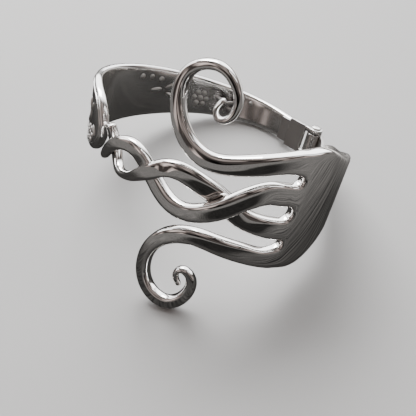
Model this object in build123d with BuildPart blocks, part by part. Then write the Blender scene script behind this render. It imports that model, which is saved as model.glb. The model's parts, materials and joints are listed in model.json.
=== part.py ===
from build123d import *
import os

# A hinged bracelet made from a four-tine fork. The wall of the bracelet follows one closed
# loop. Every piece is placed by a distance along that loop, a height up the wall and a lift
# off it. Distances start at the front and grow to the right. All lengths are in millimetres.

# Driving dimensions of the loop
loop_width = 57.0
loop_depth = 55.4

# Driving dimensions of the fork
tine_pitch = 7.2
tine_width = 4.3
tine_thickness = 2.4
tine_taper = 0.2
outer_slot = 2.3
middle_slot = 3.3
slot_length = 6.0
root_station = 17.6
root_overlap = 1.4
head_width = 27.0
head_length = 35.2
head_thickness = 2.7
upper_scroll = {"station": -3.5, "width": 10.8, "base": 8.3, "height": 16.8}
lower_scroll = {"station": -3.7, "width": 11.2, "base": 8.0, "height": 17.9}
braid_length = 48.2

# Driving dimensions of the back band
band_width = 15.8
band_thickness = 2.0
band_start = 66.6
band_length = 77.3

# Driving dimensions of the hinge
pin_station = 59.7
pin_lift = 0.15
pin_diameter = 1.4
knuckle_diameter = 3.5
hinge_height = 7.4
middle_knuckle = 4.8
leaf_thickness = 0.8
leaf_overlap = 2.6
running_gap = 0.06
knuckle_gap = 0.15
pin_head_diameter = 2.4
pin_head_height = 0.5

# Driving dimensions of the raised ornament on the back band
dome_height = 0.3
leaf_height = 0.35

# Rounding of all bars, and how deep a joined piece is let in
edge_round = 0.75
let_in = 0.1
plate_steps = 4

# The loop: width and depth shares of its points, from the front round to the right
loop_rows = (
    (0.00, -0.98), (0.42, -0.92), (0.75, -0.68), (0.925, -0.31), (0.95, 0.06), (0.92, 0.30),
    (0.80, 0.53), (0.61, 0.71), (0.42, 0.87), (-0.07, 1.02), (-0.55, 0.90), (-0.90, 0.62),
    (-1.04, 0.30), (-1.00, 0.00), (-0.85, -0.29), (-0.66, -0.53), (-0.37, -0.83),
)
loop_points = [(x * loop_width / 2, y * loop_depth / 2) for x, y in loop_rows]
with BuildLine() as loop_line:
    Spline(*loop_points, periodic=True)
loop = loop_line.edges()[0]
loop_length = loop.length


def outward(along):
    """Direction off the wall at a distance along the loop."""
    return (loop % (along / loop_length % 1)).cross(Vector(0, 0, 1))


def wall_point(along, up=0.0, lift=0.0):
    """Point at a distance along the loop, a height up the wall and a lift off it."""
    return (loop @ (along / loop_length % 1)) + outward(along) * lift + Vector(0, 0, up)


def cross_planes(rows):
    """Planes across a bar at its rows of along, up, lift, width and thickness."""
    points = [wall_point(along, up, lift) for along, up, lift, _, _ in rows]
    last = len(rows) - 1
    planes = []
    for index, row in enumerate(rows):
        forward = points[min(index + 1, last)] - points[max(index - 1, 0)]
        side = forward.cross(outward(row[0]))
        planes.append(Plane(origin=points[index], x_dir=side, z_dir=forward))
    return planes


def corner_round(width, thickness):
    """Radius of the edges of a bar of this width and thickness."""
    return min(edge_round, 0.45 * width, 0.45 * thickness)


def bar(rows):
    """Loft a bar with rounded edges through its rows."""
    sections = []
    for plane, (_, _, _, width, thickness) in zip(cross_planes(rows), rows):
        with BuildSketch(plane) as section:
            RectangleRounded(width, thickness, corner_round(width, thickness))
        sections.append(section.sketch)
    loft(sections)


def plate(first, last, first_faces, last_faces, low, high):
    """Upright plate along the wall between two distances, its two faces' lifts given at each."""
    front = []
    back = []
    for step in range(plate_steps + 1):
        share = step / plate_steps
        along = first + (last - first) * share
        inner, outer = [a + (b - a) * share for a, b in zip(first_faces, last_faces)]
        front.append(wall_point(along, 0, outer))
        back.insert(0, wall_point(along, 0, inner))
    outline = [(point.X, point.Y) for point in front + back]
    with BuildSketch(Plane.XY.offset(low)) as section:
        Polygon(*outline, align=None)
    extrude(section.sketch, amount=high - low)


def upright(diameter, low, high, mode=Mode.ADD):
    """Round bar about the hinge axis between two heights."""
    axis = wall_point(pin_station, 0, pin_lift)
    with BuildSketch(Plane.XY.offset(low)) as section:
        with Locations((axis.X, axis.Y)):
            Circle(diameter / 2)
    extrude(section.sketch, amount=high - low, mode=mode)


def slot(up, width):
    """Cut a slot with a round end into the head, towards the tines."""
    origin = wall_point(root_station, up)
    run = loop % (root_station / loop_length)
    with BuildSketch(Plane(origin=origin, x_dir=run, z_dir=outward(root_station))) as section:
        with Locations((-(slot_length + width) / 2, 0)):
            SlotCenterToCenter(slot_length, width)
    extrude(section.sketch, amount=head_thickness, both=True, mode=Mode.SUBTRACT)


# The outer tines: shares of the scroll's width along and of its height up, shares of the
# tine's width for the upper and the lower one, and shares of its thickness
scroll_rows = (
    (1.24, 0.100, 0.95, 0.98, 1.0), (0.785, 0.038, 0.90, 0.93, 1.0),
    (0.35, 0.000, 0.83, 0.86, 1.0), (-0.035, 0.075, 0.80, 0.83, 1.0),
    (-0.355, 0.285, 0.71, 0.74, 1.0), (-0.50, 0.570, 0.62, 0.69, 1.0),
    (-0.42, 0.830, 0.52, 0.70, 1.0), (-0.15, 0.980, 0.45, 0.71, 1.0),
    (0.145, 0.995, 0.41, 0.69, 0.95), (0.39, 0.870, 0.41, 0.62, 0.95),
    (0.50, 0.675, 0.41, 0.57, 0.9), (0.415, 0.510, 0.36, 0.45, 0.85),
    (0.26, 0.473, 0.29, 0.36, 0.8), (0.175, 0.550, 0.26, 0.31, 0.75),
    (0.218, 0.646, 0.24, 0.29, 0.7), (0.29, 0.700, 0.21, 0.26, 0.6),
)


def scroll(sizes, side, width_column):
    """Rows of one outer tine, above the middle for side 1 and below it for side -1."""
    rows = []
    for along in (root_station + root_overlap, root_station - root_overlap):
        rows.append((along, side * 1.5 * tine_pitch, 0.0, tine_width, tine_thickness))
    for row in scroll_rows:
        along = sizes["station"] + row[0] * sizes["width"]
        up = side * (sizes["base"] + row[1] * sizes["height"])
        rows.append((along, up, 0.0, row[width_column] * tine_width, row[4] * tine_thickness))
    return rows


# The inner tines: shares of the braid's length from the slots' roots, shares of the tines'
# pitch up, shares of the tine's thickness for the lift, and shares of its width
upper_braid_rows = (
    (-0.02, 0.545, 0.00, 1.04), (0.030, 0.55, 0.02, 1.05), (0.065, 0.57, 0.06, 1.08),
    (0.111, 0.62, 0.15, 1.08), (0.175, 0.55, 0.40, 1.01), (0.234, 0.33, 0.54, 0.97),
    (0.286, 0.04, 0.55, 0.95), (0.349, -0.25, 0.38, 0.90), (0.412, -0.45, 0.10, 0.86),
    (0.465, -0.50, -0.15, 0.84), (0.523, -0.43, -0.35, 0.86), (0.574, -0.27, -0.46, 0.88),
    (0.616, -0.10, -0.50, 0.88), (0.651, 0.04, -0.49, 0.88), (0.679, 0.20, -0.36, 0.88),
    (0.706, 0.37, -0.08, 0.84), (0.739, 0.47, 0.18, 0.77), (0.775, 0.44, 0.34, 0.72),
    (0.803, 0.36, 0.44, 0.69), (0.833, 0.25, 0.50, 0.66), (0.868, 0.08, 0.50, 0.63),
    (0.904, -0.15, 0.44, 0.57), (0.937, -0.40, 0.32, 0.50), (0.963, -0.61, 0.18, 0.38),
)
lower_braid_rows = (
    (-0.02, -0.545, 0.00, 1.04), (0.030, -0.53, -0.02, 1.05), (0.065, -0.51, -0.06, 1.06),
    (0.111, -0.46, -0.15, 1.02), (0.174, -0.37, -0.40, 0.99), (0.231, -0.19, -0.54, 0.99),
    (0.291, 0.09, -0.54, 0.98), (0.354, 0.33, -0.30, 0.97), (0.419, 0.53, 0.00, 0.92),
    (0.476, 0.64, 0.25, 0.86), (0.516, 0.62, 0.42, 0.82), (0.552, 0.49, 0.52, 0.79),
    (0.594, 0.25, 0.54, 0.74), (0.651, -0.05, 0.44, 0.62), (0.715, -0.36, 0.22, 0.50),
    (0.765, -0.53, 0.08, 0.43), (0.804, -0.62, 0.00, 0.42), (0.833, -0.64, -0.09, 0.44),
    (0.858, -0.62, -0.20, 0.48), (0.882, -0.55, -0.34, 0.53), (0.906, -0.43, -0.46, 0.60),
    (0.928, -0.30, -0.55, 0.66), (0.946, -0.14, -0.52, 0.68), (0.958, 0.04, -0.40, 0.66),
    (0.965, 0.24, -0.22, 0.62), (0.970, 0.41, -0.06, 0.50),
)


def braid(table):
    """Rows of one inner tine."""
    rows = []
    for share, up, lift, width in table:
        along = root_station - share * braid_length
        thickness = tine_thickness * (1 - tine_taper * max(share, 0))
        rows.append(
            (along, up * tine_pitch, lift * tine_thickness, width * tine_width, thickness)
        )
    return rows


# The head: shares of its length from the slots' roots to the neck, shares of its width and
# shares of its thickness
head_rows = (
    (-0.06, 0.97, 0.94), (0.00, 0.98, 0.98), (0.10, 1.00, 1.0), (0.18, 0.95, 1.0),
    (0.26, 0.85, 1.0), (0.35, 0.745, 1.0), (0.46, 0.65, 1.0), (0.56, 0.585, 1.0),
    (0.65, 0.505, 1.0), (0.74, 0.405, 1.0), (0.86, 0.295, 1.0), (1.00, 0.21, 1.0),
)
head_bar = []
for share, width, thickness in head_rows:
    along = root_station + share * head_length
    head_bar.append((along, 0.0, 0.0, width * head_width, thickness * head_thickness))
head_end = root_station + head_length

# Lifts of the hinge leaves' inner and outer faces. The neck's leaf runs from the neck's inner
# face to the outer side of its knuckle, the band's leaf lies on the inner side of both.
knuckle_radius = knuckle_diameter / 2
half_knuckle = middle_knuckle / 2
bore_diameter = pin_diameter + 2 * running_gap
neck_skin = let_in - head_thickness / 2
band_skin = let_in - band_thickness / 2
neck_leaf = (neck_skin - leaf_thickness, neck_skin)
band_leaf = (band_skin - leaf_thickness, band_skin)
neck_wrap = (pin_lift + knuckle_radius - leaf_thickness, pin_lift + knuckle_radius)
band_wrap = (pin_lift - knuckle_radius, pin_lift - knuckle_radius + leaf_thickness)

with BuildPart() as fork_shape:
    bar(head_bar)
    for slot_up, slot_width in (
        (tine_pitch, outer_slot), (0.0, middle_slot), (-tine_pitch, outer_slot),
    ):
        slot(slot_up, slot_width)
    bar(scroll(upper_scroll, 1, 2))
    bar(scroll(lower_scroll, -1, 3))
    bar(braid(upper_braid_rows))
    bar(braid(lower_braid_rows))
    plate(head_end - leaf_overlap, head_end, neck_leaf, neck_leaf, -half_knuckle, half_knuckle)
    plate(head_end, pin_station, neck_leaf, neck_wrap, -half_knuckle, half_knuckle)
    upright(knuckle_diameter, -half_knuckle, half_knuckle)
    upright(bore_diameter, -half_knuckle, half_knuckle, mode=Mode.SUBTRACT)

# The back band: shares of its length from the hinge to its tip, and width shares
band_rows = (
    (0.00, 0.39), (0.065, 0.425), (0.13, 0.463), (0.19, 0.503), (0.25, 0.55), (0.315, 0.608),
    (0.38, 0.674), (0.445, 0.747), (0.51, 0.817), (0.565, 0.868), (0.62, 0.91), (0.67, 0.943),
    (0.72, 0.968), (0.76, 0.982), (0.80, 0.99), (0.86, 1.00), (0.905, 0.93), (0.94, 0.84),
    (0.965, 0.70), (0.985, 0.49), (1.00, 0.20),
)
band_bar = []
for share, width in band_rows:
    along = band_start + share * band_length
    band_bar.append((along, 0.0, 0.0, width * band_width, band_thickness))

band_side = band_thickness / 2


def band_half(share):
    """Half the band's width at a share of its length."""
    for (start, wide), (end, narrow) in zip(band_rows, band_rows[1:]):
        if share <= end:
            break
    return (wide + (narrow - wide) * (share - start) / (end - start)) * band_width / 2


# The ornament stands on the band's outer face (side 1) or inner face (side -1). Its places are
# shares of the band's length and of its half width there.
dome_rows = (
    # share along, share up, side, diameter
    (0.360, -0.05, -1, 1.7), (0.512, 0.55, -1, 1.5), (0.548, 0.62, -1, 1.3),
    (0.585, 0.60, -1, 1.5), (0.208, 0.55, -1, 1.3), (0.176, 0.50, -1, 1.1),
    (0.910, -0.50, 1, 1.5), (0.700, 0.00, 1, 1.5), (0.745, 0.00, 1, 1.2),
    (0.780, 0.00, 1, 0.9), (0.655, 0.00, 1, 1.2), (0.620, 0.00, 1, 0.9),
)
rosette_rows = (
    # share along, share up, side, ring radius, petal diameter, petals
    (0.360, -0.05, -1, 1.7, 1.5, 6), (0.910, -0.50, 1, 1.5, 1.2, 6),
)
leaf_rows = (
    # share along, share up, side, turn in degrees, length, width
    (0.425, 0.15, -1, 12, 3.6, 1.2), (0.475, 0.30, -1, 28, 3.4, 1.2),
    (0.470, -0.10, -1, -20, 3.2, 1.1), (0.525, 0.12, -1, 8, 3.4, 1.1),
    (0.295, 0.15, -1, -12, 3.2, 1.1), (0.250, 0.05, -1, 20, 2.8, 1.0),
    (0.245, -0.35, -1, -16, 2.4, 0.9), (0.865, -0.22, 1, 50, 3.2, 1.1),
    (0.850, -0.52, 1, 6, 3.0, 1.0), (0.945, -0.28, 1, -52, 2.6, 0.9),
    (0.890, 0.02, 1, 80, 3.2, 1.1), (0.905, 0.32, 1, 65, 2.6, 0.9),
    (0.868, 0.30, 1, 100, 2.6, 0.9),
)


def face_plane(share, up_share, side):
    """Plane on the band's outer or inner face, its x direction along the band."""
    along = band_start + share * band_length
    up = up_share * band_half(share)
    off = outward(along) * side
    return Plane(
        origin=wall_point(along, up, side * band_side), x_dir=Vector(0, 0, 1).cross(off), z_dir=off
    )


def dome(face, x, y, diameter):
    """Raise a round dome, the cap of a ball, off a face."""
    radius = diameter / 2
    ball = (radius**2 + dome_height**2) / (2 * dome_height)
    sink = Vector(0, ball - dome_height)
    shoulder = (Vector(radius, 0) + sink + Vector(0, ball)).normalized() * ball - sink
    foot = face.from_local_coords((x, y, 0))
    upright_plane = Plane(origin=foot, x_dir=face.x_dir, z_dir=face.y_dir * -1)
    with BuildSketch(upright_plane) as section:
        with BuildLine():
            ThreePointArc((radius, 0), shoulder, (0, dome_height))
            Polyline((0, dome_height), (0, -let_in), (radius, -let_in), (radius, 0))
        make_face()
    revolve(section.sketch, axis=Axis(foot, face.z_dir))


def leaf(face, turn, length, width):
    """Raise a leaf, a long egg sunk into a face and turned on it."""
    along = face.x_dir.rotate(Axis((0, 0, 0), face.z_dir), turn)
    middle = face.from_local_coords((0, 0, leaf_height - width / 2))
    with BuildSketch(Plane(origin=middle, x_dir=along, z_dir=face.z_dir)) as section:
        with BuildLine():
            EllipticalCenterArc((0, 0), length / 2, width / 2, arc_size=180)
            Line((-length / 2, 0), (length / 2, 0))
        make_face()
    revolve(section.sketch, axis=Axis(middle, along))


with BuildPart() as ornament:
    for share, up_share, side, diameter in dome_rows:
        dome(face_plane(share, up_share, side), 0, 0, diameter)
    for share, up_share, side, ring, diameter, petals in rosette_rows:
        face = face_plane(share, up_share, side)
        for petal in range(petals):
            spoke = Vector(ring, 0, 0).rotate(Axis.Z, 360 * petal / petals)
            dome(face, spoke.X, spoke.Y, diameter)
    for share, up_share, side, turn, length, width in leaf_rows:
        leaf(face_plane(share, up_share, side), turn, length, width)

# The band's knuckles stand above and below the middle one, each on its own ear
middle_room = middle_knuckle + 2 * knuckle_gap
leaf_start = pin_station + knuckle_radius + 2 * knuckle_gap
leaf_end = band_start + leaf_overlap
seat_half = band_half(0) - let_in
knuckle_spans = (
    (middle_room / 2, hinge_height / 2),
    (-hinge_height / 2, -middle_room / 2),
)
with BuildPart() as band_shape:
    bar(band_bar)
    add(ornament.part)
    plate(band_start, leaf_end, band_leaf, band_leaf, -seat_half, seat_half)
    plate(leaf_start, band_start, band_wrap, band_leaf, -hinge_height / 2, hinge_height / 2)
    for low, high in knuckle_spans:
        plate(pin_station, leaf_start, band_wrap, band_wrap, low, high)
        upright(knuckle_diameter, low, high)
        upright(pin_diameter, low, high, mode=Mode.SUBTRACT)

# The pin, with a flat head at each end
pin_reach = hinge_height / 2
with BuildPart() as pin_shape:
    upright(pin_diameter, -pin_reach, pin_reach)
    upright(pin_head_diameter, pin_reach, pin_reach + pin_head_height)
    upright(pin_head_diameter, -pin_reach - pin_head_height, -pin_reach)


def furthest(rows, down):
    """Point of a bar's rounded edges that reaches furthest along a direction."""
    best = None
    for plane, (_, _, _, width, thickness) in zip(cross_planes(rows), rows):
        radius = corner_round(width, thickness)
        for x in (radius - width / 2, width / 2 - radius):
            for y in (radius - thickness / 2, thickness / 2 - radius):
                point = plane.from_local_coords((x, y)) + down * radius
                if best is None or point.dot(down) > best.dot(down):
                    best = point
    return best


# The bracelet lies on three points: the lower scroll, the hinge pin and the band's edge.
# They depend on the lean and the lean on them, so a few rounds settle both.
leaning_up = Vector(-0.25, -0.35, 0.90)
settling_rounds = 6
pin_foot = wall_point(pin_station, -pin_reach - pin_head_height, pin_lift)
for _ in range(settling_rounds):
    down = leaning_up.normalized() * -1
    pin_side = Vector(down.X, down.Y, 0).normalized() * (pin_head_diameter / 2)
    scroll_contact = furthest(scroll(lower_scroll, -1, 3), down)
    pin_contact = pin_foot + pin_side
    band_contact = furthest(band_bar, down)
    leaning_up = (pin_contact - scroll_contact).cross(band_contact - scroll_contact)

# The front of the bracelet stays towards -Y, and the box of all pieces is centred over the
# origin, with its lowest point on the ground
ahead = leaning_up.cross(Vector(1, 0, 0))
ground = Plane(origin=scroll_contact, x_dir=ahead.cross(leaning_up), z_dir=leaning_up)
lean = ground.location.inverse()
shapes = (fork_shape, band_shape, pin_shape)
boxes = [shape.part.moved(lean).bounding_box() for shape in shapes]
middle_x = (min(box.min.X for box in boxes) + max(box.max.X for box in boxes)) / 2
middle_y = (min(box.min.Y for box in boxes) + max(box.max.Y for box in boxes)) / 2
lowest = min(box.min.Z for box in boxes)
placed = Location((-middle_x, -middle_y, -lowest)) * lean

with BuildPart() as fork_front:
    with Locations(placed):
        add(fork_shape.part)
fork_front.part.label = "fork_front"

with BuildPart() as back_band:
    with Locations(placed):
        add(band_shape.part)
back_band.part.label = "back_band"

with BuildPart() as hinge_pin:
    with Locations(placed):
        add(pin_shape.part)
hinge_pin.part.label = "hinge_pin"

os.makedirs("parts", exist_ok=True)
export_step(fork_front.part, "parts/fork_front.step")
export_step(back_band.part, "parts/back_band.step")
export_step(hinge_pin.part, "parts/hinge_pin.step")
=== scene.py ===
# %% [markdown]
# A hinged bracelet bent from a silver-plated fork. The tines make the front: the two outer
# ones curl into scrolls, and the two inner ones are woven over each other. The handle goes
# round the back as a flat band and ends in a wide rounded tip. A small rivet hinge joins both.
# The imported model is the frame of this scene: it gives the places, and every piece made here
# follows the same rule of distance along the loop, height up the wall and lift off it.

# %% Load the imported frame
import json
import math

import bmesh
import bpy
import numpy as np
from mathutils import Matrix, Vector


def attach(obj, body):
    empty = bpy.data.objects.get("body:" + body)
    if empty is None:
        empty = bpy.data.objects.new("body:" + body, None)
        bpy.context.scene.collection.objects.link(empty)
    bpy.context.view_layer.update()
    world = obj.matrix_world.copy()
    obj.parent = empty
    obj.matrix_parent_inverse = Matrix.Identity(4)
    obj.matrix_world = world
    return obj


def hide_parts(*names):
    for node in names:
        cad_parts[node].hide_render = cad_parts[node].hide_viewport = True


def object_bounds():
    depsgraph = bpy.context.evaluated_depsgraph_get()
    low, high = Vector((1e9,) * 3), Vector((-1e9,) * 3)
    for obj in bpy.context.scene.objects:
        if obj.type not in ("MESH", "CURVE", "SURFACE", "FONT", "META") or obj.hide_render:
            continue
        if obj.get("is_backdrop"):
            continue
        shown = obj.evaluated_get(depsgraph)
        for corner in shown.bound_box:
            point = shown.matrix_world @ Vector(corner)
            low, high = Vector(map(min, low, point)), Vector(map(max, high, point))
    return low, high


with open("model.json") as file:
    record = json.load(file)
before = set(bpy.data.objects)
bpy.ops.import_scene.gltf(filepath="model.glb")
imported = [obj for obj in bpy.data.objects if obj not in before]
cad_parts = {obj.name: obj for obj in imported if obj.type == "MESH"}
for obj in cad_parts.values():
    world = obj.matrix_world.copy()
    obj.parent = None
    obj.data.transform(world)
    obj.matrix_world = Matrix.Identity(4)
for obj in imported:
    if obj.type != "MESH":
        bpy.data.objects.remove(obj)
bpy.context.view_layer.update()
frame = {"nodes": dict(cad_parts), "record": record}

MM = 0.001

# %% [markdown]
# The bracelet lies tilted on three points, so its own upright axis isn't the room's. The
# record gives the middle of the wrist opening and the axis that goes through it. The third
# direction follows, because the bracelet was laid down without turning it about the upright.
# The pieces could also be drawn upright and turned later. Placing every point at once keeps
# each object at the origin, where the export wants it.

# %% Find the bracelet's own frame
wrist = next(m for m in frame["record"]["mounts"] if m["name"] == "wrist_opening")
own_up = Vector(wrist["axis"]).normalized()
own_across = Vector((0, 1, 0)).cross(own_up).normalized()
own_back = own_up.cross(own_across)
own_turn = Matrix((own_across, own_back, own_up)).transposed()
own_origin = Vector(wrist["pos_m"])


def to_room(x, y, z):
    """A point given in millimetres in the bracelet's own frame, in metres in the room."""
    return own_origin + own_turn @ (Vector((x, y, z)) * MM)


lean = math.degrees(own_up.angle(Vector((0, 0, 1))))
print("the bracelet leans by", round(lean, 1), "degrees")

# %% [markdown]
# The wall follows one closed loop. An ellipse would be simpler, but metal bent by hand is
# flatter in some places than in others. So it is a periodic cubic spline through a few
# points, the same curve as the solids have. Such a spline is found by solving one small
# system for the slopes at its points, and walking along it gives the distance from the front.

# %% Draw the loop
LOOP_WIDTH, LOOP_DEPTH = 57.0, 55.4
LOOP_ROWS = (
    # share of half the width, share of half the depth, once round from the front
    (0.00, -0.98), (0.42, -0.92), (0.75, -0.68), (0.925, -0.31), (0.95, 0.06), (0.92, 0.30),
    (0.80, 0.53), (0.61, 0.71), (0.42, 0.87), (-0.07, 1.02), (-0.55, 0.90), (-0.90, 0.62),
    (-1.04, 0.30), (-1.00, 0.00), (-0.85, -0.29), (-0.66, -0.53), (-0.37, -0.83),
)
STEPS_IN_A_SPAN = 120


def closed_spline(points, steps):
    """Points on the closed cubic spline through the given ones, by steps for each span."""
    count = len(points)
    gap = np.linalg.norm(np.roll(points, -1, 0) - points, axis=1)
    system, right = np.zeros((count, count)), np.zeros((count, 2))
    for i in range(count):
        before, after, j = gap[i - 1], gap[i], (i + 1) % count
        system[i, i - 1], system[i, i], system[i, j] = after, 2 * (before + after), before
        rise_after = (points[j] - points[i]) / after
        rise_before = (points[i] - points[i - 1]) / before
        right[i] = 3 * (after * rise_before + before * rise_after)
    slopes = np.linalg.solve(system, right)
    t = np.linspace(0, 1, steps, endpoint=False)[:, None]
    spans = []
    for i in range(count):
        j = (i + 1) % count
        spans.append(
            (2 * t**3 - 3 * t**2 + 1) * points[i] + (t**3 - 2 * t**2 + t) * gap[i] * slopes[i]
            + (3 * t**2 - 2 * t**3) * points[j] + (t**3 - t**2) * gap[i] * slopes[j]
        )
    return np.concatenate(spans)


half_loop = (LOOP_WIDTH / 2, LOOP_DEPTH / 2)
loop = closed_spline(np.array(LOOP_ROWS) * half_loop, STEPS_IN_A_SPAN)
loop = np.vstack([loop, loop[:1]])
walked = np.concatenate([[0], np.cumsum(np.linalg.norm(np.diff(loop, axis=0), axis=1))])
loop_length = walked[-1]
print("loop length in mm:", round(loop_length, 2))

# %% Places on the wall
LOOK_AHEAD = 0.05


def loop_point(along):
    """Point of the loop at a distance from the front."""
    along = along % loop_length
    return np.array([np.interp(along, walked, loop[:, k]) for k in (0, 1)])


def outward(along):
    """Direction off the wall at a distance from the front."""
    ahead = loop_point(along + LOOK_AHEAD) - loop_point(along - LOOK_AHEAD)
    return np.array([ahead[1], -ahead[0], 0.0]) / np.hypot(*ahead)


def wall_point(along, up, lift):
    """Point in the bracelet's own frame, in millimetres."""
    x, y = loop_point(along)
    return np.array([x, y, up]) + outward(along) * lift


print("front of the loop in mm:", wall_point(0, 0, 0).round(2))

# %% [markdown]
# The sizes that several pieces share stand here once, in millimetres. The tables further on
# hold shares of them, chosen row by row, and a smooth curve goes through the rows. Absolute
# numbers would do as well, but shares let one size change without a new table.

# %% Sizes that the pieces share
TINE_PITCH, TINE_WIDTH, TINE_THICKNESS = 7.2, 4.3, 2.4
ROOT = 17.6
HEAD_WIDTH, HEAD_LENGTH, HEAD_THICKNESS = 27.0, 35.2, 2.7
BAND_WIDTH, BAND_THICKNESS, BAND_START, BAND_LENGTH = 15.8, 2.0, 66.6, 77.3
EDGE = 0.45
print("head from", ROOT, "to", ROOT + HEAD_LENGTH, "mm along the loop, band from", BAND_START)

# %% Rows made smooth
TINY = 1e-6


def smooth_rows(rows, step):
    """Rows on the natural cubic spline through the given rows, about one step apart."""
    rows = np.array(rows, float)
    spans = np.linalg.norm(np.diff(rows[:, :3], axis=0), axis=1)
    at = np.concatenate([[0], np.cumsum(np.maximum(spans, TINY))])
    count, gap = len(at), np.diff(at)
    system, right = np.eye(count), np.zeros((count, rows.shape[1]))
    for i in range(1, count - 1):
        before, after = gap[i - 1], gap[i]
        system[i, i - 1:i + 2] = before, 2 * (before + after), after
        right[i] = 6 * ((rows[i + 1] - rows[i]) / after - (rows[i] - rows[i - 1]) / before)
    bend = np.linalg.solve(system, right)
    out = []
    for where in np.linspace(0, at[-1], max(2, round(at[-1] / step) + 1)):
        i = min(max(np.searchsorted(at, where) - 1, 0), count - 2)
        a, b, h = at[i + 1] - where, where - at[i], gap[i]
        out.append(
            (bend[i] * a**3 + bend[i + 1] * b**3) / (6 * h)
            + (rows[i] / h - bend[i] * h / 6) * a + (rows[i + 1] / h - bend[i + 1] * h / 6) * b
        )
    return np.array(out)


def row_frames(rows):
    """Middle, side and face direction of each row of along, up and lift."""
    middles = np.array([wall_point(*row[:3]) for row in rows])
    ahead = np.gradient(middles, axis=0)
    faces = np.array([outward(row[0]) for row in rows])
    sides = np.cross(ahead, faces)
    sides /= np.linalg.norm(sides, axis=1)[:, None]
    faces = np.cross(sides, ahead)
    faces /= np.linalg.norm(faces, axis=1)[:, None]
    return middles, sides, faces


# %% [markdown]
# A mirror finish shows every facet, so the fork isn't drawn with the solids' triangles. It
# gets a cage of a few long quads, with a row of quads for each rounded edge, and Blender's
# subdivision makes one smooth skin of it. A remeshed or bevelled solid would be quicker, but
# its skin ripples where long faces meet. The tines and the head share the cage, so the slots'
# round ends come out of the skin itself, as they do in a stamped fork.

# %% Objects and cages
SKIN_LEVELS = 2


def add_object(name, data):
    """A new object of the scene for a mesh, a curve, a light or a camera."""
    thing = bpy.data.objects.new(name, data)
    bpy.context.scene.collection.objects.link(thing)
    return thing


def outward_mesh(name, corners, faces):
    """A smooth-shaded mesh whose faces point outwards."""
    mesh = bpy.data.meshes.new(name)
    mesh.from_pydata(corners, [], faces)
    shape = bmesh.new()
    shape.from_mesh(mesh)
    bmesh.ops.recalc_face_normals(shape, faces=shape.faces)
    shape.to_mesh(mesh)
    shape.free()
    mesh.shade_smooth()
    return mesh


class Cage:
    """Corners and quads of a mesh that subdivision will smooth."""

    def __init__(self):
        self.corners = []
        self.quads = []

    def corner(self, point):
        self.corners.append(tuple(to_room(*point)))
        return len(self.corners) - 1

    def skin(self, rings):
        """Quads between each ring of corners and the next, which has as many."""
        for ring, following in zip(rings, rings[1:]):
            for k in range(len(ring)):
                after = (k + 1) % len(ring)
                self.quads.append((ring[k], ring[after], following[after], following[k]))

    def piece(self, name):
        """The mesh object, with a subdivision modifier."""
        piece = add_object(name, outward_mesh(name, self.corners, self.quads))
        smooth = piece.modifiers.new("smooth skin", "SUBSURF")
        smooth.levels = smooth.render_levels = SKIN_LEVELS
        print(name, "cage of", len(self.quads), "quads")
        return piece


# %% [markdown]
# Each tine is a bar of ten corners to a ring, which follows its rows. The two outer tines
# share one table, because both scrolls curl in the same way, and differ in size and width.
# The two inner tines have a table each: where one lifts off the wall, the other dips behind
# it, and so they cross without touching.

# %% One bar of the cage
EDGE_SHARE = 0.42


def bar_section(width, thickness):
    """The ten corners of a bar's section: across and off the wall, front first."""
    half, deep = width / 2, thickness / 2
    edge = min(EDGE, EDGE_SHARE * width, EDGE_SHARE * thickness)
    return (
        (half - edge, deep), (0, deep), (edge - half, deep), (-half, deep - edge),
        (-half, edge - deep), (edge - half, -deep), (0, -deep), (half - edge, -deep),
        (half, edge - deep), (half, deep - edge),
    )


def bar_rings(cage, rows):
    """Rings of a bar through its rows of along, up, lift, width and thickness."""
    rings = []
    for row, middle, side, face in zip(rows, *row_frames(rows)):
        section = bar_section(row[3], row[4])
        rings.append([cage.corner(middle + side * across + face * off) for across, off in section])
    return rings


def close_bar(cage, ring):
    """Close a ring of ten corners with four quads."""
    a, b, c, d, e, f, g, h, i, j = ring
    cage.quads += [(a, b, g, h), (b, c, f, g), (c, d, e, f), (j, a, h, i)]


# %% The scrolled outer tines
STEP = 0.9
UPPER_SCROLL = {"station": -3.5, "width": 10.8, "base": 8.3, "height": 16.8}
LOWER_SCROLL = {"station": -3.7, "width": 11.2, "base": 8.0, "height": 17.9}
SCROLL_FOOT_ROWS = (
    # distance before the slots' ends, pitches up, width share, thickness share
    (1.4, 1.5, 1.12, 1.05), (3.2, 1.49, 1.0, 1.0),
)
SCROLL_ROWS = (
    # share along, share up, width share above, width share below, thickness share
    (1.24, 0.100, 0.95, 0.98, 1.0), (0.785, 0.038, 0.90, 0.93, 1.0),
    (0.35, 0.000, 0.83, 0.86, 1.0), (-0.035, 0.075, 0.80, 0.83, 1.0),
    (-0.355, 0.285, 0.71, 0.74, 1.0), (-0.50, 0.570, 0.62, 0.69, 1.0),
    (-0.42, 0.830, 0.52, 0.70, 1.0), (-0.15, 0.980, 0.45, 0.71, 1.0),
    (0.145, 0.995, 0.41, 0.69, 0.95), (0.39, 0.870, 0.41, 0.62, 0.95),
    (0.50, 0.675, 0.41, 0.57, 0.9), (0.415, 0.510, 0.36, 0.45, 0.85),
    (0.26, 0.473, 0.29, 0.36, 0.8), (0.175, 0.550, 0.26, 0.31, 0.75),
    (0.218, 0.646, 0.24, 0.29, 0.7), (0.29, 0.700, 0.21, 0.26, 0.6),
)
WIDTHS_ABOVE, WIDTHS_BELOW = 2, 3


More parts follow.
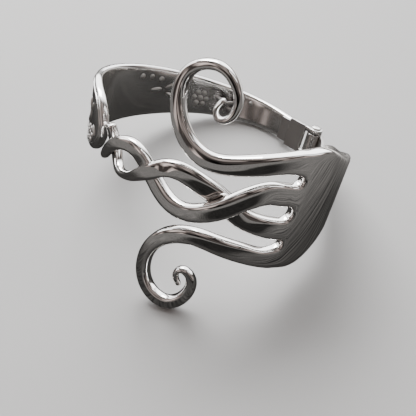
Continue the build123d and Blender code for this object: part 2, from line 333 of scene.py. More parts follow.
def scroll_rows(sizes, side, width_column):
    """Rows of an outer tine, from just before the slot's end to its curled tip."""
    rows = []
    for back, pitches, width, thickness in SCROLL_FOOT_ROWS:
        up = side * pitches * TINE_PITCH
        rows.append((ROOT - back, up, 0, width * TINE_WIDTH, thickness * TINE_THICKNESS))
    for row in SCROLL_ROWS:
        along = sizes["station"] + row[0] * sizes["width"]
        up = side * (sizes["base"] + row[1] * sizes["height"])
        rows.append((along, up, 0, row[width_column] * TINE_WIDTH, row[4] * TINE_THICKNESS))
    return smooth_rows(rows, STEP)


upper_scroll = scroll_rows(UPPER_SCROLL, 1, WIDTHS_ABOVE)
lower_scroll = scroll_rows(LOWER_SCROLL, -1, WIDTHS_BELOW)
print("rows in the scrolls:", len(upper_scroll), len(lower_scroll))

# %% The woven inner tines
BRAID_LENGTH, TINE_TAPER = 48.2, 0.2
UPPER_BRAID_ROWS = (
    # share along from the root, pitches up, thicknesses of lift, width share
    (0.030, 0.55, 0.02, 1.05), (0.065, 0.57, 0.06, 1.08),
    (0.111, 0.62, 0.15, 1.08), (0.175, 0.55, 0.40, 1.01), (0.234, 0.33, 0.54, 0.97),
    (0.286, 0.04, 0.55, 0.95), (0.349, -0.25, 0.38, 0.90), (0.412, -0.45, 0.10, 0.86),
    (0.465, -0.50, -0.15, 0.84), (0.523, -0.43, -0.35, 0.86), (0.574, -0.27, -0.46, 0.88),
    (0.616, -0.10, -0.50, 0.88), (0.651, 0.04, -0.49, 0.88), (0.679, 0.20, -0.36, 0.88),
    (0.706, 0.37, -0.08, 0.84), (0.739, 0.47, 0.18, 0.77), (0.775, 0.44, 0.34, 0.72),
    (0.803, 0.36, 0.44, 0.69), (0.833, 0.25, 0.50, 0.66), (0.868, 0.08, 0.50, 0.63),
    (0.904, -0.15, 0.44, 0.57), (0.937, -0.40, 0.32, 0.50), (0.963, -0.61, 0.18, 0.38),
)
LOWER_BRAID_ROWS = (
    # the same columns
    (0.030, -0.53, -0.02, 1.05), (0.065, -0.51, -0.06, 1.06),
    (0.111, -0.46, -0.15, 1.02), (0.174, -0.37, -0.40, 0.99), (0.231, -0.19, -0.54, 0.99),
    (0.291, 0.09, -0.54, 0.98), (0.354, 0.33, -0.30, 0.97), (0.419, 0.53, 0.00, 0.92),
    (0.476, 0.64, 0.25, 0.86), (0.516, 0.62, 0.42, 0.82), (0.552, 0.49, 0.52, 0.79),
    (0.594, 0.25, 0.54, 0.74), (0.651, -0.05, 0.44, 0.62), (0.715, -0.36, 0.22, 0.50),
    (0.765, -0.53, 0.08, 0.43), (0.804, -0.62, 0.00, 0.42), (0.833, -0.64, -0.09, 0.44),
    (0.858, -0.62, -0.20, 0.48), (0.882, -0.55, -0.34, 0.53), (0.906, -0.43, -0.46, 0.60),
    (0.928, -0.30, -0.55, 0.66), (0.946, -0.14, -0.52, 0.68), (0.958, 0.04, -0.40, 0.66),
    (0.965, 0.24, -0.22, 0.62), (0.970, 0.41, -0.06, 0.50),
)


def braid_rows(table):
    """Rows of an inner tine, from just before the slot's end to its tip."""
    rows = []
    for share, up, lift, width in table:
        rows.append((
            ROOT - share * BRAID_LENGTH, up * TINE_PITCH, lift * TINE_THICKNESS,
            width * TINE_WIDTH, TINE_THICKNESS * (1 - TINE_TAPER * share),
        ))
    return smooth_rows(rows, STEP)


upper_braid, lower_braid = braid_rows(UPPER_BRAID_ROWS), braid_rows(LOWER_BRAID_ROWS)
print("rows in the braid:", len(upper_braid), len(lower_braid))

# %% [markdown]
# The head is a plate with fifteen lines of corners along it: three for each tine and one in
# the middle of each slot. Cutting the slots out of a finished plate would leave creases round
# them. So the first line across the head bends round the slots' ends, and there the plate's
# front and back are joined by a small wall for each slot. Each tine goes on from its own
# three lines.

# %% Lines along the head
ROOT_SHARE = 0.98
OUTER_SLOT, MIDDLE_SLOT = 2.3, 3.3
SLOTS = ((TINE_PITCH, OUTER_SLOT), (0.0, MIDDLE_SLOT), (-TINE_PITCH, OUTER_SLOT))
root_half, root_deep = ROOT_SHARE * HEAD_WIDTH / 2, ROOT_SHARE * HEAD_THICKNESS / 2
edges = [root_half]
for up, width in SLOTS:
    edges += [up + width / 2, up - width / 2]
edges.append(-root_half)
lines = []
for k in range(len(SLOTS) + 1):
    above, below = edges[2 * k], edges[2 * k + 1]
    lines += [above - EDGE, (above + below) / 2, below + EDGE]
    if k < len(SLOTS):
        lines.append(SLOTS[k][0])
print("lines along the head, in mm up:", [round(line, 2) for line in lines])

# %% Lines across the head
HEAD_ROWS = (
    # share along from the root, width share, thickness share
    (-0.06, 0.97, 0.94), (0.00, 0.98, 0.98), (0.10, 1.00, 1.0), (0.18, 0.95, 1.0),
    (0.26, 0.85, 1.0), (0.35, 0.745, 1.0), (0.46, 0.65, 1.0), (0.56, 0.585, 1.0),
    (0.65, 0.505, 1.0), (0.74, 0.405, 1.0), (0.86, 0.295, 1.0), (1.00, 0.21, 1.0),
)
FIRST_ROW, LAST_STEP = 1.2, 0.02

head_table = [
    (share * HEAD_LENGTH, 0, 0, width * HEAD_WIDTH, thickness * HEAD_THICKNESS)
    for share, width, thickness in HEAD_ROWS
]
head_rows = [row for row in smooth_rows(head_table, STEP) if row[0] > FIRST_ROW]
neck_width, neck_thickness = head_table[-1][3:]
head_rows.append(
    np.array([HEAD_LENGTH - LAST_STEP, 0, 0, neck_width - 2 * EDGE, neck_thickness - 2 * EDGE])
)
print("lines across the head:", len(head_rows))

# %% Sections and ends of a plate
def plate_section(front, half, deep, edge):
    """A plate's section: its front corners, its lower wall, its back, its upper wall."""
    return (
        [(up, deep) for up in front] + [(-half, deep - edge), (-half, edge - deep)]
        + [(up, -deep) for up in reversed(front)] + [(half, edge - deep), (half, deep - edge)]
    )


def back_of(k, count):
    """Place in a ring of the corner behind the k-th of so many front corners."""
    return 2 * count + 1 - k


def close_plate(cage, ring, count):
    """Close a plate's end with a row of quads from its front corners to its back ones."""
    for k in range(count - 1):
        behind = ring[back_of(k + 1, count)], ring[back_of(k, count)]
        cage.quads.append((ring[k], ring[k + 1], *behind))
    cage.quads.append(tuple(ring[count - 1:count + 3]))
    cage.quads.append((ring[0], ring[back_of(0, count)], ring[-2], ring[-1]))


# %% Rings of the head
# Eight corners at 1.108 radii give a circle once they are smoothed. Five of them give a slot's
# round end: the two beside it belong to the tines, one lies straight ahead, and two lie at 45
# degrees, at 0.784 radii each way.
END_REACH, END_DIAGONAL = 1.108, 0.784
ROOT_LINE = 0.2


def head_ring(cage, row):
    """Corners of one line across the head."""
    half, deep, edge = row[3] / 2, row[4] / 2, min(EDGE, EDGE_SHARE * row[4])
    front = [line / (root_half - EDGE) * (half - edge) for line in lines]
    section = plate_section(front, half, deep, edge)
    return [cage.corner(wall_point(ROOT + row[0], up, lift)) for up, lift in section]


def slot_corners(up, width, out):
    """Along and up of the three corners of a slot's end, so far out from its wall."""
    middle, radius = ROOT - width / 2, width / 2 + out
    diagonal = END_DIAGONAL * radius
    return (
        (middle + diagonal, up + diagonal), (middle + END_REACH * radius, up),
        (middle + diagonal, up - diagonal),
    )


def root_ring(cage):
    """The head's first ring, which bends round the slots' ends."""
    section = [
        (ROOT + ROOT_LINE, up, lift)
        for up, lift in plate_section(lines, root_half, root_deep, EDGE)
    ]
    for k, (up, width) in enumerate(SLOTS):
        for j, corner in enumerate(slot_corners(up, width, EDGE)):
            front = 4 * k + 2 + j
            section[front] = (*corner, root_deep)
            section[back_of(front, len(lines))] = (*corner, -root_deep)
    return [cage.corner(wall_point(*corner)) for corner in section]


fork_cage = Cage()
head_rings = [root_ring(fork_cage)] + [head_ring(fork_cage, row) for row in head_rows]
fork_cage.skin(head_rings)
close_plate(fork_cage, head_rings[-1], len(lines))
print("quads in the head:", len(fork_cage.quads))

# %% Walls of the slots' ends
first = head_rings[0]
behind_first = [first[back_of(k, len(lines))] for k in range(len(lines))]
wall_deep = root_deep - EDGE
slot_walls = []
for up, width in SLOTS:
    wall = []
    for along, height in slot_corners(up, width, 0):
        points = [wall_point(along, height, lift) for lift in (wall_deep, -wall_deep)]
        wall.append([fork_cage.corner(point) for point in points])
    slot_walls.append(wall)
for k in range(len(SLOTS)):
    left, middle, right = 4 * k + 2, 4 * k + 3, 4 * k + 4
    (af, ab), (mf, mb), (bf, bb) = slot_walls[k]
    fork_cage.quads += [
        (first[left], first[middle], mf, af), (first[middle], first[right], bf, mf),
        (behind_first[left], ab, mb, behind_first[middle]),
        (behind_first[middle], mb, bb, behind_first[right]), (af, mf, mb, ab), (mf, bf, bb, mb),
    ]
print("slot walls:", len(slot_walls))

# %% The tines grow out of the head
lower_wall = (first[len(lines)], first[len(lines) + 1])
upper_wall = (first[-1], first[-2])
for k, rows in enumerate((upper_scroll, upper_braid, lower_braid, lower_scroll)):
    a, b, c = 4 * k, 4 * k + 1, 4 * k + 2
    above = slot_walls[k - 1][2] if k > 0 else upper_wall
    below = slot_walls[k][0] if k < len(SLOTS) else lower_wall
    start = [
        first[a], first[b], first[c], below[0], below[1],
        behind_first[c], behind_first[b], behind_first[a], above[1], above[0],
    ]
    rings = bar_rings(fork_cage, rows)
    fork_cage.skin([start] + rings)
    close_bar(fork_cage, rings[-1])
fork = fork_cage.piece("fork_skin")

# %% [markdown]
# The band is the fork's handle, bent round. It is one plate that widens from the hinge to its
# rounded tip, so its cage is simpler: five lines of corners on each face, closed at both ends.
# A curve with a bevel could make a strip as well, but not one whose width changes like this.

# %% The back band
BAND_ROWS = (
    # share along from the hinge, width share
    (0.00, 0.39), (0.065, 0.425), (0.13, 0.463), (0.19, 0.503), (0.25, 0.55), (0.315, 0.608),
    (0.38, 0.674), (0.445, 0.747), (0.51, 0.817), (0.565, 0.868), (0.62, 0.91), (0.67, 0.943),
    (0.72, 0.968), (0.76, 0.982), (0.80, 0.99), (0.86, 1.00), (0.905, 0.93), (0.94, 0.84),
    (0.965, 0.70), (0.985, 0.49), (1.00, 0.20),
)
BAND_LINES = (1.0, 0.5, 0.0, -0.5, -1.0)
BAND_STEP, BAND_EDGE_SHARE = 1.3, 0.3
END_STEP, END_WIDTH, END_THICKNESS = 0.01, 0.75, 0.6


def band_ring(cage, row, middle, side, face):
    """Corners of one line across the band, front first."""
    half, deep, edge = row[3] / 2, row[4] / 2, min(EDGE, BAND_EDGE_SHARE * row[3])
    front = [share * (half - edge) for share in BAND_LINES]
    section = plate_section(front, half, deep, edge)
    return [cage.corner(middle + side * across + face * off) for across, off in section]


def end_row(row, step):
    """A smaller row just past an end of the band, which rounds that end."""
    along, up, lift, width, thickness = row
    return np.array([along + step, up, lift, width * END_WIDTH, thickness * END_THICKNESS])


band_table = [
    (BAND_START + share * BAND_LENGTH, 0, 0, width * BAND_WIDTH, BAND_THICKNESS)
    for share, width in BAND_ROWS
]
band_rows = smooth_rows(band_table, BAND_STEP)
ends = end_row(band_rows[0], -END_STEP), end_row(band_rows[-1], END_STEP)
band_rows = np.vstack([ends[:1], band_rows, ends[1:]])
band_cage = Cage()
band_rings = [
    band_ring(band_cage, row, *place) for row, *place in zip(band_rows, *row_frames(band_rows))
]
band_cage.skin(band_rings)
for ring in (band_rings[0], band_rings[-1]):
    close_plate(band_cage, ring, len(BAND_LINES))
band = band_cage.piece("band_skin")

# %% [markdown]
# The hinge is a small butt hinge: a leaf brazed on each side, with knuckles that a rivet goes
# through. The band holds the upper and the lower knuckle, and the fork holds the middle one.
# They are flat or turned, so a smoothed cage would be too soft for them. They are drawn
# plainly and get a narrow bevel, which catches light as a filed edge does.

# %% Leaves of a hinge
LEAF_BEVEL, LEAF_STEPS, BEVEL_SEGMENTS, BEVEL_FROM_ANGLE = 0.12, 4, 3, 40


def eased_piece(name, corners, faces, bevel):
    """A mesh object from corners in the bracelet's own millimetres, with bevelled edges."""
    piece = add_object(name, outward_mesh(name, [tuple(to_room(*c)) for c in corners], faces))
    rounding = piece.modifiers.new("eased edges", "BEVEL")
    rounding.width, rounding.segments = bevel * MM, BEVEL_SEGMENTS
    rounding.limit_method, rounding.angle_limit = "ANGLE", math.radians(BEVEL_FROM_ANGLE)
    normals = piece.modifiers.new("flat faces", "WEIGHTED_NORMAL")
    normals.keep_sharp = True
    return piece


def leaf_plate(name, stations, low, high):
    """An upright plate through stations of along, inner lift and outer lift."""
    corners, faces, count = [], [], len(stations)
    for along, inner, outer in stations:
        for up, lift in ((low, inner), (low, outer), (high, outer), (high, inner)):
            corners.append(wall_point(along, up, lift))
    for k in range(count - 1):
        a, b = 4 * k, 4 * k + 4
        faces += [(a + j, a + (j + 1) % 4, b + (j + 1) % 4, b + j) for j in range(4)]
    faces += [(0, 1, 2, 3), tuple(4 * (count - 1) + j for j in range(4))]
    return eased_piece(name, corners, faces, LEAF_BEVEL)


def between(first, last, first_lifts, last_lifts):
    """Stations from one distance to another, with the two lifts going over evenly."""
    stations = []
    for step in range(LEAF_STEPS + 1):
        share = step / LEAF_STEPS
        lifts = [a + (b - a) * share for a, b in zip(first_lifts, last_lifts)]
        stations.append((first + (last - first) * share, *lifts))
    return stations


# %% Knuckles of a hinge
PIN_STATION, PIN_LIFT, PIN_DIAMETER, KNUCKLE_DIAMETER = 59.7, 0.15, 1.4, 3.5
KNUCKLE_BEVEL, TURNED_SIDES = 0.1, 48


def turned(name, profile, bevel):
    """A piece turned about the hinge's axis from a closed profile of radius and height."""
    axis = wall_point(PIN_STATION, 0, PIN_LIFT)
    corners, faces, count = [], [], len(profile)
    for k in range(TURNED_SIDES):
        angle = 2 * math.pi * k / TURNED_SIDES
        for radius, up in profile:
            way = np.array([radius * math.cos(angle), radius * math.sin(angle), up])
            corners.append(axis + way)
    for k in range(TURNED_SIDES):
        here, after = k * count, (k + 1) % TURNED_SIDES * count
        for j in range(count):
            following = (j + 1) % count
            faces.append((here + j, here + following, after + following, after + j))
    return eased_piece(name, corners, faces, bevel)


def knuckle(name, bore, low, high):
    """A knuckle of the hinge between two heights, turned round its bore."""
    outer = KNUCKLE_DIAMETER / 2
    profile = ((bore, low), (outer, low), (outer, high), (bore, high))
    return turned(name, profile, KNUCKLE_BEVEL)


# %% Leaves and knuckles
HINGE_HEIGHT, MIDDLE_KNUCKLE, LEAF_THICKNESS, LEAF_OVERLAP = 7.4, 4.8, 0.8, 2.6
KNUCKLE_GAP, RUNNING_GAP, LET_IN, LEAF_SHORT = 0.15, 0.06, 0.1, 0.4
pin_radius, knuckle_radius = PIN_DIAMETER / 2, KNUCKLE_DIAMETER / 2
half_middle, half_hinge = MIDDLE_KNUCKLE / 2, HINGE_HEIGHT / 2
head_end, band_leaf_end = ROOT + HEAD_LENGTH, BAND_START + LEAF_OVERLAP
leaf_start = PIN_STATION + knuckle_radius + 2 * KNUCKLE_GAP
neck_back, band_back = LET_IN - HEAD_THICKNESS / 2, LET_IN - BAND_THICKNESS / 2
neck_leaf = (neck_back - LEAF_THICKNESS, neck_back)
band_leaf = (band_back - LEAF_THICKNESS, band_back)
outside, inside = PIN_LIFT + knuckle_radius, PIN_LIFT - knuckle_radius
neck_wrap, band_wrap = (outside - LEAF_THICKNESS, outside), (inside, inside + LEAF_THICKNESS)
seat_half = band_table[0][3] / 2 - LET_IN

on_the_neck = between(head_end - LEAF_OVERLAP, head_end, neck_leaf, neck_leaf)
to_the_pin = between(head_end, PIN_STATION - LEAF_SHORT, neck_leaf, neck_wrap)
fork_hinge = [
    leaf_plate("neck_leaf", on_the_neck[:-1] + to_the_pin, -half_middle, half_middle),
    knuckle("middle_knuckle", pin_radius + RUNNING_GAP, -half_middle, half_middle),
]
from_the_pin = between(leaf_start, BAND_START, band_wrap, band_leaf)
on_the_band = between(BAND_START, band_leaf_end, band_leaf, band_leaf)
ear = between(PIN_STATION + LEAF_SHORT, leaf_start, band_wrap, band_wrap)
band_hinge = [
    leaf_plate("band_leaf", from_the_pin, -half_hinge, half_hinge),
    leaf_plate("band_seat", on_the_band, -seat_half, seat_half),
]
room = half_middle + KNUCKLE_GAP
for name, low, high in (("upper", room, half_hinge), ("lower", -half_hinge, -room)):
    band_hinge.append(leaf_plate(name + "_ear", ear, low, high))
    band_hinge.append(knuckle(name + "_knuckle", pin_radius, low, high))
print("hinge pieces:", [piece.name for piece in fork_hinge + band_hinge])

# %% The rivet
PIN_HEAD_DIAMETER, PIN_HEAD_HEIGHT, RIVET_BEVEL = 2.4, 0.5, 0.03
RIM, SHOULDER, SHOULDER_SHARE, CROWN_SHARE, NEAR_AXIS = 0.1, 0.16, 0.9, 0.55, 0.001
top, head_radius = half_hinge + PIN_HEAD_HEIGHT, PIN_HEAD_DIAMETER / 2
upper_half = [
    (pin_radius, half_hinge), (head_radius, half_hinge), (head_radius, half_hinge + RIM),
    (SHOULDER_SHARE * head_radius, top - SHOULDER), (CROWN_SHARE * head_radius, top),
    (NEAR_AXIS, top),
]
lower_half = [(radius, -up) for radius, up in reversed(upper_half)]
rivet = turned("hinge_rivet", lower_half + upper_half, RIVET_BEVEL)
print("rivet is", round(2 * top, 2), "mm long")

# %% [markdown]
# The handle's raised ornament is round domes and small leaves, set in a rosette and sprays.
# Sculpting or a bump in the finish could show them, but a bump has no outline, and they all
# have one form. So a Geometry Nodes tree puts one dome on every point of a small cloud,
# turned and stretched by the attributes that the points carry.

# %% Tables of the ornament
DOME_ROWS = (
    # share along, share up, side, diameter
    (0.360, -0.05, -1, 1.7), (0.512, 0.55, -1, 1.5), (0.548, 0.62, -1, 1.3),
    (0.585, 0.60, -1, 1.5), (0.208, 0.55, -1, 1.3), (0.176, 0.50, -1, 1.1),
    (0.910, -0.50, 1, 1.5), (0.700, 0.00, 1, 1.5), (0.745, 0.00, 1, 1.2),
    (0.780, 0.00, 1, 0.9), (0.655, 0.00, 1, 1.2), (0.620, 0.00, 1, 0.9),
)
ROSETTE_ROWS = (
    # share along, share up, side, ring radius, petal diameter, petals
    (0.360, -0.05, -1, 1.7, 1.5, 6), (0.910, -0.50, 1, 1.5, 1.2, 6),
)
LEAF_ROWS = (
    # share along, share up, side, turn in degrees, length, width
    (0.425, 0.15, -1, 12, 3.6, 1.2), (0.475, 0.30, -1, 28, 3.4, 1.2),
    (0.470, -0.10, -1, -20, 3.2, 1.1), (0.525, 0.12, -1, 8, 3.4, 1.1),
    (0.295, 0.15, -1, -12, 3.2, 1.1), (0.250, 0.05, -1, 20, 2.8, 1.0),
    (0.245, -0.35, -1, -16, 2.4, 0.9), (0.865, -0.22, 1, 50, 3.2, 1.1),
    (0.850, -0.52, 1, 6, 3.0, 1.0), (0.945, -0.28, 1, -52, 2.6, 0.9),
    (0.890, 0.02, 1, 80, 3.2, 1.1), (0.905, 0.32, 1, 65, 2.6, 0.9),
    (0.868, 0.30, 1, 100, 2.6, 0.9),
)
print("rows of domes, rosettes, leaves:", len(DOME_ROWS), len(ROSETTE_ROWS), len(LEAF_ROWS))

# %% Places of the ornament
DOME_HEIGHT, LEAF_HEIGHT, LEAST_DEPTH = 0.24, 0.26, 1.2


def band_half(share):
    """Half the band's width at a share of its length."""
    shares, widths = zip(*BAND_ROWS)
    return np.interp(share, shares, widths) * BAND_WIDTH / 2


def face_frame(share, up_share, side):
    """Point on a face of the band, and the directions along, across and off it."""
    along = BAND_START + share * BAND_LENGTH
    off = outward(along) * side
    point = wall_point(along, up_share * band_half(share), side * BAND_THICKNESS / 2)
    run = np.cross((0, 0, 1), off)
    return point, run, np.cross(off, run), off


def turned_way(run, across, angle):
    """The direction that lies in a face at an angle from along it."""
    return run * math.cos(angle) + across * math.sin(angle)


def seed(point, run, across, off, length, width, height):
    """A place for one dome: its middle, turn and size, sunk so that its height stands proud."""
    turn = Matrix((Vector(run), Vector(across), Vector(off))).transposed()
    half = max(width / 2, height * LEAST_DEPTH)
    middle = point + off * (height - half)
    grow = half / math.sqrt(half**2 - (half - height) ** 2)
    size = (length / 2 * grow * MM, width / 2 * grow * MM, half * MM)
    return to_room(*middle), (own_turn @ turn).to_euler(), size


seeds = []
for share, up, side, diameter in DOME_ROWS:
    seeds.append(seed(*face_frame(share, up, side), diameter, diameter, DOME_HEIGHT))
for share, up, side, ring, diameter, petals in ROSETTE_ROWS:
    point, run, across, off = face_frame(share, up, side)
    for petal in range(petals):
        away = turned_way(run, across, 2 * math.pi * petal / petals)
        place = point + away * ring
        seeds.append(seed(place, run, across, off, diameter, diameter, DOME_HEIGHT))
for share, up, side, turn, length, width in LEAF_ROWS:
    point, run, across, off = face_frame(share, up, side)
    long_way = turned_way(run, across, math.radians(turn))
    seeds.append(seed(point, long_way, np.cross(off, long_way), off, length, width, LEAF_HEIGHT))
print("raised domes and leaves:", len(seeds))

# %% Helpers for node trees
def add_node(tree, kind, inputs=(), **settings):
    """A node with its settings, whose inputs get a value each or an output to read."""
    node = tree.nodes.new(kind)
    for name, value in settings.items():
        setattr(node, name, value)
    for socket, value in dict(inputs).items():
        if isinstance(value, bpy.types.NodeSocket):
            tree.links.new(value, node.inputs[socket])
        else:
            node.inputs[socket].default_value = value
    return node


def new_tree(name, inputs):
    """A Geometry Nodes group with named inputs, and its input node's outputs."""
    tree = bpy.data.node_groups.new(name, "GeometryNodeTree")
    tree.interface.new_socket("Geometry", in_out="INPUT", socket_type="NodeSocketGeometry")
    for label, kind, value in inputs:
        socket = tree.interface.new_socket(label, in_out="INPUT", socket_type=kind)
        if value is not None:
            socket.default_value = value
    tree.interface.new_socket("Geometry", in_out="OUTPUT", socket_type="NodeSocketGeometry")
    return tree, tree.nodes.new("NodeGroupInput").outputs


def finish_tree(tree, geometry, material):
    """Make what the tree grew smooth, real and coated, and hand it out."""
    smooth = add_node(tree, "GeometryNodeSetShadeSmooth", {"Geometry": geometry})
    real = add_node(tree, "GeometryNodeRealizeInstances", {"Geometry": smooth.outputs["Geometry"]})
    coat = add_node(tree, "GeometryNodeSetMaterial", {
        "Geometry": real.outputs["Geometry"], "Material": material,
    })
    add_node(tree, "NodeGroupOutput", {"Geometry": coat.outputs["Geometry"]})


def as_plain_mesh(carrier, tree, material, name):
    """What the tree makes of the carrier, as a plain mesh object."""
    grower = carrier.modifiers.new("grow", "NODES")
    grower.node_group = tree
    socket = next(i for i in tree.interface.items_tree if i.name == "Material")
    grower[socket.identifier] = material
    graph = bpy.context.evaluated_depsgraph_get()
    mesh = bpy.data.meshes.new_from_object(carrier.evaluated_get(graph))
    bpy.data.objects.remove(carrier)
    mesh.name = name
    print(name, "has", len(mesh.polygons), "faces")
    return add_object(name, mesh)


# %% A tree that sets a dome on every point
DOME_SEGMENTS, DOME_RINGS = 20, 12


def point_cloud(name, seeds):
    """A mesh of points that carry a turn and a size each."""
    mesh = bpy.data.meshes.new(name)
    mesh.from_pydata([tuple(place) for place, _, _ in seeds], [], [])
    for label, values in (("turn", [s[1] for s in seeds]), ("size", [s[2] for s in seeds])):
        column = mesh.attributes.new(label, "FLOAT_VECTOR", "POINT")
        column.data.foreach_set("vector", np.array([tuple(value) for value in values]).ravel())
    return add_object(name, mesh)


def carried(tree, label):
    """What the tree's points carry under a name."""
    read = add_node(
        tree, "GeometryNodeInputNamedAttribute", {"Name": label}, data_type="FLOAT_VECTOR"
    )
    return read.outputs["Attribute"]


dome_tree, dome_in = new_tree("raised domes", [
    ("Segments", "NodeSocketInt", DOME_SEGMENTS), ("Material", "NodeSocketMaterial", None),
])
ball = add_node(
    dome_tree, "GeometryNodeMeshUVSphere",
    {"Segments": dome_in["Segments"], "Rings": DOME_RINGS, "Radius": 1.0},
)
to_turn = add_node(dome_tree, "FunctionNodeEulerToRotation", {"Euler": carried(dome_tree, "turn")})
spread = add_node(dome_tree, "GeometryNodeInstanceOnPoints", {
    "Points": dome_in["Geometry"], "Instance": ball.outputs["Mesh"],
    "Rotation": to_turn.outputs["Rotation"], "Scale": carried(dome_tree, "size"),
})
finish_tree(dome_tree, spread.outputs["Instances"], dome_in["Material"])
print("nodes in the dome tree:", len(dome_tree.nodes))

# %% [markdown]
# Silver plate is a mirror, and what one sees in it is the room. A flat grey metal would look
# like plastic. So the finish is nearly smooth metal with a slow change of roughness, as
# fingers and a cloth leave it, a few hair scratches and shallow dents as bump, and painted
# shade: the colour turns brown-grey in the corners and where parts nearly touch.

# %% A value carried to another range
def add_range(tree, value, taken, given, **settings):
    """A value carried over from the range that it is taken from to the one that is given."""
    rise = add_node(tree, "ShaderNodeMapRange", {
        "Value": value, "From Min": taken[0], "From Max": taken[1],
        "To Min": given[0], "To Max": given[1],
    }, **settings)
    return rise.outputs["Result"]


# %% A material of polished silver
CORNER_SHADE_COLOUR = (0.16, 0.13, 0.11, 1)
CORNER_REACH, SCRATCH_DEPTH, DENT_DEPTH = 0.9, 0.006, 0.05


def silver(name, tint, roughness, corner_shade, scratch):
    """Silver plate: tint, roughness, painted shade in the corners, and how scratched it is."""
    material = bpy.data.materials.new(name)
    material.use_nodes = True
    tree = material.node_tree
    place = add_node(tree, "ShaderNodeTexCoord").outputs["Object"]

    smears = add_node(tree, "ShaderNodeTexNoise", {"Vector": place, "Scale": 90.0, "Detail": 3.0})
    rough = add_range(tree, smears.outputs["Fac"], (0.35, 0.7), (roughness, roughness * 1.9))

    # Painted shade: ambient occlusion turns the colour towards brown-grey in corners and where
    # parts nearly touch.
    corners = add_node(
        tree, "ShaderNodeAmbientOcclusion", {"Distance": CORNER_REACH * MM}, samples=8
    )
    shade_mask = add_range(tree, corners.outputs["AO"], (0.25, 0.85), (corner_shade, 0.0))
    colour = add_node(
        tree, "ShaderNodeMix", {"Factor": shade_mask, "A": (*tint, 1), "B": CORNER_SHADE_COLOUR},
        data_type="RGBA",
    )

    stretch = add_node(tree, "ShaderNodeMapping", {
        "Vector": place, "Rotation": (0.3, 0.6, 0.9), "Scale": (2600, 260, 260),
    })
    hairs = add_node(tree, "ShaderNodeTexNoise", {
        "Vector": stretch.outputs["Vector"], "Scale": 1.0, "Detail": 2.0,
    })
    dents = add_node(tree, "ShaderNodeTexNoise", {"Vector": place, "Scale": 230.0, "Detail": 1.0})
    scratched = add_node(tree, "ShaderNodeBump", {
        "Strength": scratch, "Distance": SCRATCH_DEPTH * MM, "Height": hairs.outputs["Fac"],
    })
    dented = add_node(tree, "ShaderNodeBump", {
        "Strength": 0.25, "Distance": DENT_DEPTH * MM, "Height": dents.outputs["Fac"],
        "Normal": scratched.outputs["Normal"],
    })

    shader = tree.nodes["Principled BSDF"]
    shader.inputs["Metallic"].default_value = 1.0
    tree.links.new(rough, shader.inputs["Roughness"])
    tree.links.new(colour.outputs["Result"], shader.inputs["Base Color"])
    tree.links.new(dented.outputs["Normal"], shader.inputs["Normal"])
    print(name, "has", len(tree.nodes), "nodes")
    return material


# %% The five finishes
# name, tint, roughness, painted shade in the corners, scratches
fork_silver = silver("fork silver plate", (0.88, 0.865, 0.85), 0.03, 0.35, 0.3)
band_silver = silver("band silver plate", (0.80, 0.79, 0.775), 0.12, 0.6, 0.5)
relief_silver = silver("worn relief silver", (0.56, 0.55, 0.535), 0.30, 0.8, 0.6)
hinge_silver = silver("hinge brazed silver", (0.74, 0.73, 0.715), 0.16, 0.5, 0.6)
leaf_silver = silver("dulled leaf silver", (0.46, 0.45, 0.44), 0.26, 0.6, 0.6)

# %% Ornament on the band
cloud = point_cloud("ornament_points", seeds)
ornament = as_plain_mesh(cloud, dome_tree, relief_silver, "band_ornament")

# %% [markdown]
# The border thread is a raised line a little inside the edge of the outer face, out along the
# top, round the tip and back. It could be cut into the band's own cage, but that would need
# many more lines of corners. A tree with Curve to Mesh lays a round section along a curve.

# %% The border thread
THREAD_INSET, THREAD_DIAMETER, THREAD_SINK, THREAD_SIDES = 1.2, 0.5, 0.12, 12
LEAST_UP, PAST_THE_LEAF = 0.2, 1.0


def border_points():
    """Points inset from the band's edge, out along the top, round the tip and back."""
    edge = np.array([(row[0], row[3] / 2) for row in smooth_rows(band_table, BAND_STEP)])
    way = np.gradient(edge, axis=0)
    way /= np.linalg.norm(way, axis=1)[:, None]
    inner = edge + np.column_stack([way[:, 1], -way[:, 0]]) * THREAD_INSET
    first = band_leaf_end + PAST_THE_LEAF
    inner = [(along, up) for along, up in inner if up > LEAST_UP and along > first]
    tip = [(BAND_START + BAND_LENGTH - THREAD_INSET, 0.0)]
    return inner + tip + [(along, -up) for along, up in reversed(inner)]


line = bpy.data.curves.new("border", "CURVE")
line.dimensions = "3D"
path = line.splines.new("POLY")
thread_lift = BAND_THICKNESS / 2 - THREAD_SINK
places = [to_room(*wall_point(along, up, thread_lift)) for along, up in border_points()]
path.points.add(len(places) - 1)
for point, place in zip(path.points, places):
    point.co = (*place, 1)
border = add_object("border", line)

thread_tree, thread_in = new_tree("border thread", [
    ("Diameter", "NodeSocketFloat", THREAD_DIAMETER * MM),
    ("Material", "NodeSocketMaterial", None),
])
halve = add_node(
    thread_tree, "ShaderNodeMath", {0: thread_in["Diameter"], 1: 2.0}, operation="DIVIDE"
)
section = add_node(thread_tree, "GeometryNodeCurvePrimitiveCircle", {
    "Resolution": THREAD_SIDES, "Radius": halve.outputs["Value"],
})
tube = add_node(thread_tree, "GeometryNodeCurveToMesh", {
    "Curve": thread_in["Geometry"], "Profile Curve": section.outputs["Curve"], "Fill Caps": True,
})
finish_tree(thread_tree, tube.outputs["Mesh"], thread_in["Material"])
thread = as_plain_mesh(border, thread_tree, band_silver, "band_thread")
